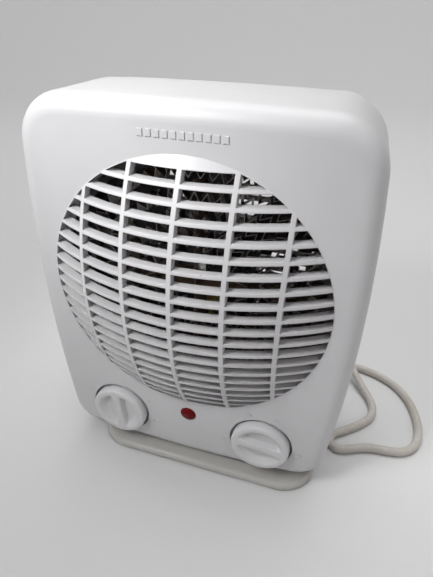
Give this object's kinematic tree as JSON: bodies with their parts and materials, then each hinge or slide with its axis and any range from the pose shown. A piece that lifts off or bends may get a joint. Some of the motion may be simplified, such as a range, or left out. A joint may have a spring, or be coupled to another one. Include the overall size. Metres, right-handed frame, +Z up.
{
  "type": "fan heater",
  "caption": "Upright mains fan heater with a domed slatted front, thermostat and heat dials, an indicator lamp, a flat foot, an axial fan, ribbon elements and a coiled cord with a plug.",
  "frame": {"origin": "on the floor, at the middle of the heater's own box in width and depth, cord left out", "axes": "+Z up, the slatted front faces -Y, +X to the right of someone facing the front"},
  "size_m": [0.2752, 0.2676, 0.256],
  "materials": {
    "casing": "fine satin, cool off-white",
    "foot": "satin, warmer grey than the casing",
    "rubber_dark": "matt",
    "screw_steel": "zinc plated",
    "knob": "satin, as the casing",
    "steel": "plain sheet and bar",
    "switch_dark": "matt black moulding",
    "lens_red": "glossy dark red, slightly see-through",
    "lamp_glass": "clear neon bulb",
    "mica": "pressed mica board, brownish",
    "ribbon": "bright heating ribbon",
    "cutout_metal": "plain",
    "fan_dark": "matt black",
    "lamination": "stacked iron sheets",
    "coil_wrap": "taped copper winding",
    "bush": "oil-filled sintered bronze",
    "wire_sleeve": "silicone sleeve",
    "cord_rubber": "satin PVC, warm grey",
    "tie": "nylon",
    "pin_brass": "bright"
  },
  "bodies": {
    "casing": {"front_cover": "casing", "rear_cover": "casing", "foot_plate": "foot", "rubber_feet": "rubber_dark", "foot_screws": "screw_steel", "cover_screws": "screw_steel", "duct_screws": "screw_steel", "motor_screws": "screw_steel", "bracket_screws": "screw_steel", "terminal_screws": "screw_steel", "clamp_screws": "screw_steel", "motor_spacers": "steel", "motor_bracket": "steel", "air_duct": "steel", "motor_bridge_front": "steel", "motor_bridge_rear": "steel", "thermostat_body": "switch_dark", "selector_switch": "switch_dark", "lamp_holder": "switch_dark", "terminal_block": "switch_dark", "cord_clamp": "switch_dark", "indicator_lens": "lens_red", "neon_lamp": "lamp_glass", "mica_board_level": "mica", "mica_board_upright": "mica", "ribbon_low": "ribbon", "ribbon_high": "ribbon", "thermal_cutout": "cutout_metal", "thermal_fuse": "cutout_metal", "element_terminals": "cutout_metal", "motor_stack": "lamination", "motor_coil": "coil_wrap", "bush_front": "bush", "bush_rear": "bush", "internal_wires": "wire_sleeve", "strain_relief": "cord_rubber", "inner_cord": "cord_rubber", "cord": "cord_rubber", "cord_coil": "cord_rubber", "cord_tail": "cord_rubber", "plug_body": "cord_rubber", "coil_tie": "tie", "plug_pins": "pin_brass"},
    "thermostat_dial": {"thermostat_knob": "knob", "thermostat_spindle": "steel", "thermostat_knob_spring": "steel"},
    "selector_dial": {"selector_knob": "knob", "selector_spindle": "steel", "selector_knob_spring": "steel"},
    "fan": {"fan_impeller": "fan_dark", "fan_clip": "screw_steel", "motor_shaft": "steel", "motor_rotor": "lamination"}
  },
  "joints": [
    {"name": "thermostat_turn", "type": "hinge", "parent": "casing", "child": "thermostat_dial", "pos_m": [-0.053, -0.0346, 0.0385], "axis": [0, -1, 0], "range_deg": [-140, 130]},
    {"name": "selector_turn", "type": "hinge", "parent": "casing", "child": "selector_dial", "pos_m": [0.053, -0.0346, 0.0385], "axis": [0, -1, 0], "range_deg": [-270, 0]},
    {"name": "fan_spin", "type": "hinge", "parent": "casing", "child": "fan", "pos_m": [0, 0.0104, 0.146], "axis": [0, 1, 0], "continuous": true}
  ]
}
